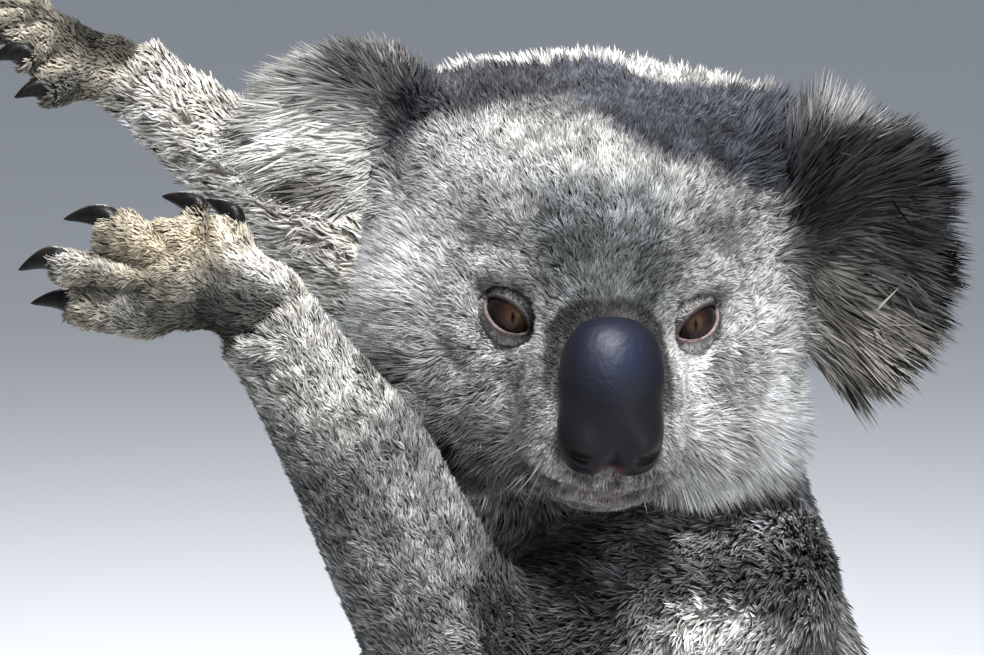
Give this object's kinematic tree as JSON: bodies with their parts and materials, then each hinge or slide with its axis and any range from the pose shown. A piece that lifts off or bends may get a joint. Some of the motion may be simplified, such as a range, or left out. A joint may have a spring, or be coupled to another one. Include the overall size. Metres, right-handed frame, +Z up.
{
  "type": "koala",
  "caption": "Life-size koala sitting upright on its rump, both forearms reaching forward and the head turned to its left.",
  "frame": {"origin": "middle of the footprint's box, on the floor that the rump and the soles rest on", "axes": "+Z up; the body faces -X; the face, turned to the animal's left, looks along -Y"},
  "size_m": [0.3434, 0.266, 0.4184],
  "materials": {
    "coat": "short dense grey fur, speckled dark and light",
    "ear_coat": "long loose fur, white and grey fringe over a dark dish",
    "nose_leather": "black pebbled leather with a soft gloss",
    "eye": "wet glossy brown eye",
    "claw": "satin dark horn"
  },
  "bodies": {
    "root": {"claw_foot_left_2": "claw", "claw_foot_left_3": "claw", "claw_foot_left_4": "claw", "claw_foot_left_5": "claw", "claw_foot_right_2": "claw", "claw_foot_right_3": "claw", "claw_foot_right_4": "claw", "claw_foot_right_5": "claw", "claw_hand_left_1": "claw", "claw_hand_left_2": "claw", "claw_hand_left_3": "claw", "claw_hand_left_4": "claw", "claw_hand_left_5": "claw", "claw_hand_right_1": "claw", "claw_hand_right_2": "claw", "claw_hand_right_3": "claw", "claw_hand_right_4": "claw", "claw_hand_right_5": "claw", "ear_left": "ear_coat", "ear_right": "ear_coat", "eye_left": "eye", "eye_right": "eye", "foot_left": "coat", "foot_right": "coat", "forearm_left": "coat", "forearm_right": "coat", "hand_left": "coat", "hand_right": "coat", "head": "coat", "neck": "coat", "nose": "nose_leather", "shank_left": "coat", "shank_right": "coat", "thigh_left": "coat", "thigh_right": "coat", "trunk": "coat", "upper_arm_left": "coat", "upper_arm_right": "coat"}
  },
  "joints": []
}
